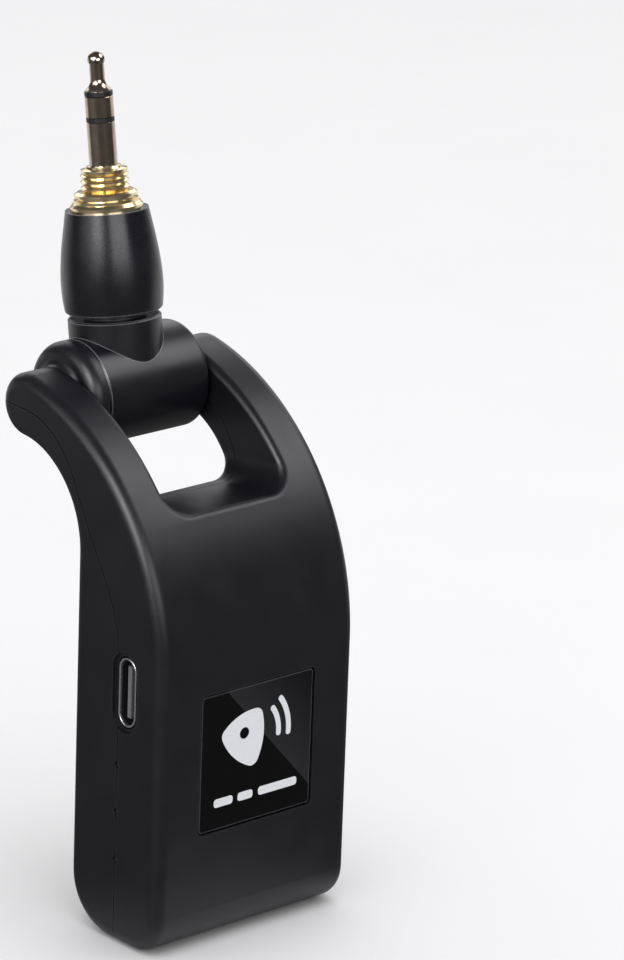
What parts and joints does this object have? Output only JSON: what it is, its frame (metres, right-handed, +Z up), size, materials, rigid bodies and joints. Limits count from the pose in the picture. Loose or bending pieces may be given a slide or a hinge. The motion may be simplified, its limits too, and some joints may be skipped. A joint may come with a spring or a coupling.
{
  "type": "wireless guitar transmitter",
  "caption": "Compact curved two-shell housing with a folding 3.5 mm plug hinged between its two arms, a square badge, a charging socket and a slide switch.",
  "frame": {"origin": "centre of the flat bottom face of the housing", "axes": "+Z up the housing towards the plug, -Y out of the badge face, -X towards the charging socket side, +X towards the power switch side"},
  "size_m": [0.031, 0.0363, 0.1047],
  "materials": {
    "case": "fine satin moulded texture, charcoal black",
    "case_gloss": "smooth satin black",
    "barrel": "smooth satin black",
    "badge": "polished black",
    "print": "white ink",
    "steel": "plain",
    "bright_steel": "bright nickel plated",
    "gold": "polished gold plated",
    "plug_metal": "polished dark warm plating",
    "black_plastic": "plain",
    "board": "green solder mask",
    "chip": "epoxy",
    "ceramic": "ceramic",
    "ferrite": "ferrite",
    "led": "clear resin",
    "clear": "clear",
    "foil": "laminate pouch",
    "tape": "adhesive tape",
    "foam": "closed-cell foam",
    "bush": "acetal",
    "red_wire": "insulation",
    "black_wire": "insulation"
  },
  "bodies": {
    "housing": {"front_shell": "case", "rear_shell": "case", "shell_screws": "steel", "badge_adhesive": "tape", "badge_panel": "badge", "badge_print": "print", "main_board": "board", "board_screws": "steel", "usb_shell": "bright_steel", "usb_tongue": "black_plastic", "usb_contacts": "gold", "status_leds": "led", "light_guide": "clear", "switch_body": "bright_steel", "rf_shield_can": "bright_steel", "rf_chip": "chip", "chip_antenna": "ceramic", "audio_codec": "chip", "charger_chip": "chip", "power_inductor": "ferrite", "crystal": "bright_steel", "board_passives": "ceramic", "battery_cell": "foil", "battery_tape": "tape", "battery_foam_pad": "foam", "protection_board": "board", "battery_lead_positive": "red_wire", "battery_lead_negative": "black_wire", "hinge_bushes": "bush", "hinge_washers": "steel", "signal_cable": "black_wire"},
    "power_switch": {"switch_knob": "black_plastic"},
    "plug": {"knuckle": "case_gloss", "plug_barrel": "barrel", "plug_collar": "gold", "plug_sleeve": "plug_metal", "plug_ring": "plug_metal", "plug_tip": "plug_metal", "plug_insulator": "black_plastic", "solder_tags": "gold", "plug_cable": "black_wire", "hinge_pin_hollow": "steel", "hinge_pin_solid": "steel"}
  },
  "joints": [
    {"name": "plug_fold", "type": "hinge", "parent": "housing", "child": "plug", "pos_m": [0, 0.0217, 0.0637], "axis": [1, 0, 0], "range_deg": [-123, 97]},
    {"name": "switch_slide", "type": "slide", "parent": "housing", "child": "power_switch", "axis": [0, 0, 1], "range_m": [0, 0.002]}
  ]
}
